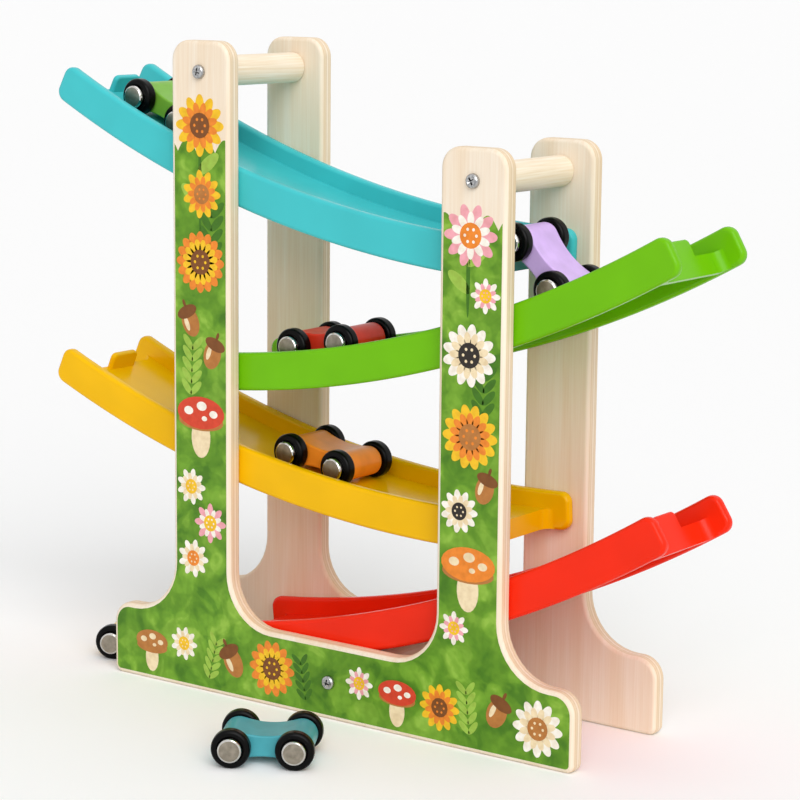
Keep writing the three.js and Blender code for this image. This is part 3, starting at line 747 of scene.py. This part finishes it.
def wheelset():
    # From the outer face of one hub in to the axle, then mirrored for the other hub.
    half_section = [(0, HUB_OUTER), (HUB_FACE, HUB_OUTER)]
    half_section += [(r, HUB_OUTER - setback) for r, setback in HUB_BEVEL]
    half_section += [
        (HUB_RADIUS, HUB_INNER + HUB_CHAMFER), (HUB_RADIUS - HUB_CHAMFER, HUB_INNER),
        (AXLE_RADIUS, HUB_INNER),
    ]
    right_half = [(r, -y) for r, y in half_section]
    bm = turned(right_half + half_section[::-1], HUB_SIDES)
    layer = bm.verts.layers.float.new("turning_radius")
    for vert in bm.verts:
        vert[layer] = sqrt(vert.co.x ** 2 + vert.co.z ** 2)
    for face in bm.faces:
        face.material_index = 0 if abs(face.normal.y) > FLAT_FACE else 1
    return bm


AXLES = [(name, end) for name in CARS for end in ("front", "rear")]


def axle_place(name, end):
    ahead = WHEELBASE / 2 if end == "front" else -WHEELBASE / 2
    return car_place(name) @ Matrix.Translation((ahead, 0, 0))


for name, end in AXLES:
    bm = wheelset()
    bmesh.ops.transform(bm, matrix=axle_place(name, end), verts=bm.verts[:])
    piece(f"{name}_{end}_axle_and_hubs", bm, f"{name}_car_{end}_wheels", [satin_and_painted_reflection, bright],
          [f"{name}_car_{end}_wheelset"], 25)

# Tyres. Black moulded rubber rings with soft shoulders and a fine skin, stretched over the
# hubs and held there by their own grip.
TYRE_RADIUS = 8.5 * MM
TYRE_WIDTH = 5.8 * MM
TYRE_OFFSET = 14.3 * MM
TYRE_SHOULDER = 1.6 * MM
TYRE_LEAD_IN = 0.5 * MM
TYRE_GAP = 0.05 * MM
TYRE_SIDES = 48
SHOULDER_STEPS = 5

rubber, tree, shader = new_material("black moulded rubber", roughness=0.28, ior=1.45, gloss=0.12)
place = add(tree, "TexCoord").outputs["Object"]
skin = add(tree, "TexNoise", inputs={"Vector": place, "Scale": 1 / (0.5 * MM), "Detail": 2})
tone = add(tree, "ValToRGB", inputs={"Fac": skin}, stops=[(0.3, "#020202"), (0.7, "#070708")])
tree.links.new(tone.outputs[0], shader.inputs["Base Color"])
relief = add(tree, "Bump", inputs={"Height": skin, "Distance": 0.02 * MM, "Strength": 0.6})
tree.links.new(relief.outputs[0], shader.inputs["Normal"])


def tyre():
    bore, half = HUB_RADIUS + TYRE_GAP, TYRE_WIDTH / 2
    profile = [(bore, TYRE_LEAD_IN - half), (bore + TYRE_LEAD_IN, -half)]
    for side_sign in (-1, 1):
        for i in range(SHOULDER_STEPS + 1):
            share = i / SHOULDER_STEPS
            angle = side_sign * pi / 2 * (1 - share if side_sign < 0 else share)
            profile.append((TYRE_RADIUS + TYRE_SHOULDER * (cos(angle) - 1),
                            side_sign * (half - TYRE_SHOULDER) + TYRE_SHOULDER * sin(angle)))
    profile += [(bore + TYRE_LEAD_IN, half), (bore, half - TYRE_LEAD_IN), profile[0]]
    return turned(profile, TYRE_SIDES)


for name, end in AXLES:
    for side_name, y in (("left", TYRE_OFFSET), ("right", -TYRE_OFFSET)):
        bm = tyre()
        at_hub = axle_place(name, end) @ Matrix.Translation((0, y, 0))
        bmesh.ops.transform(bm, matrix=at_hub, verts=bm.verts[:])
        piece(f"{name}_{end}_{side_name}_ring", bm, f"{name}_car_{end}_wheels", rubber,
              [f"{name}_car_{end}_{side_name}_tyre"])

# Studio. A plain white floor that runs out of view, a soft even sky, a broad soft lamp from
# the front right and a weaker one overhead, so that colours render about as written.
SKY_LIGHT = 0.42
FLOOR_REACH = 40000 * MM
# Direction towards each lamp, its strength and its spread in degrees.
LAMPS = {"key_lamp": ((0.6, -0.55, 0.58), 2.15, 50), "top_lamp": ((0.05, 0.3, 0.95), 0.5, 60)}

floor_bm = bmesh.new()
bmesh.ops.create_grid(floor_bm, x_segments=1, y_segments=1, size=FLOOR_REACH)
floor_mesh = bpy.data.meshes.new("floor")
floor_bm.to_mesh(floor_mesh)
floor_bm.free()
floor = bpy.data.objects.new("floor", floor_mesh)
bpy.context.scene.collection.objects.link(floor)
floor_white, _, shader = new_material("studio paper white", roughness=0.9, gloss=0.1)
shader.inputs["Base Color"].default_value = linear("#ffffff")
floor_mesh.materials.append(floor_white)

world = bpy.data.worlds.new("soft sky")
bpy.context.scene.world = world
world.use_nodes = True
tree = world.node_tree
rays = add(tree, "LightPath").outputs
shown = add(tree, "Math", {"operation": "MAXIMUM"}, {0: rays["Is Camera Ray"], 1: rays["Is Glossy Ray"]})
shown = add(tree, "Math", {"operation": "MAXIMUM"}, {0: shown, 1: rays["Is Transmission Ray"]})
level = add(tree, "Math", {"operation": "MULTIPLY_ADD"}, {0: shown, 1: 1 - SKY_LIGHT, 2: SKY_LIGHT})
backdrop = tree.nodes["Background"].inputs
tree.links.new(level.outputs[0], backdrop["Strength"])
backdrop["Color"].default_value = linear("#ffffff")

for lamp_name, (source, power, spread) in LAMPS.items():
    lamp_data = bpy.data.lights.new(lamp_name, "SUN")
    lamp_data.energy = power
    lamp_data.angle = radians(spread)
    lamp = bpy.data.objects.new(lamp_name, lamp_data)
    lamp.rotation_euler = (-Vector(source)).to_track_quat("-Z", "Y").to_euler()
    bpy.context.scene.collection.objects.link(lamp)

# Camera. Fitted to the panel edges in the photograph: a long lens from the front right,
# a little above the toy.
VIEW_FROM = Vector((0.67706, -0.88291, 0.34318))
VIEW_YAW, VIEW_PITCH, VIEW_ROLL = -0.6286, 0.1751, 0.0094
LENS_MM = 114.7
SENSOR_MM = 36
forward = Vector((sin(VIEW_YAW) * cos(VIEW_PITCH), cos(VIEW_YAW) * cos(VIEW_PITCH), -sin(VIEW_PITCH)))
level_right = Vector((cos(VIEW_YAW), -sin(VIEW_YAW), 0))
level_up = level_right.cross(forward)
camera_right = cos(VIEW_ROLL) * level_right + sin(VIEW_ROLL) * level_up
camera_up = cos(VIEW_ROLL) * level_up - sin(VIEW_ROLL) * level_right
camera = bpy.data.objects.new("camera", bpy.data.cameras.new("camera"))
facing = Matrix((camera_right, camera_up, -forward)).transposed().to_4x4()
camera.matrix_world = Matrix.Translation(VIEW_FROM) @ facing
camera.data.lens = LENS_MM
camera.data.sensor_width = SENSOR_MM
bpy.context.scene.collection.objects.link(camera)
bpy.context.scene.camera = camera
bpy.context.scene.view_settings.view_transform = "Standard"
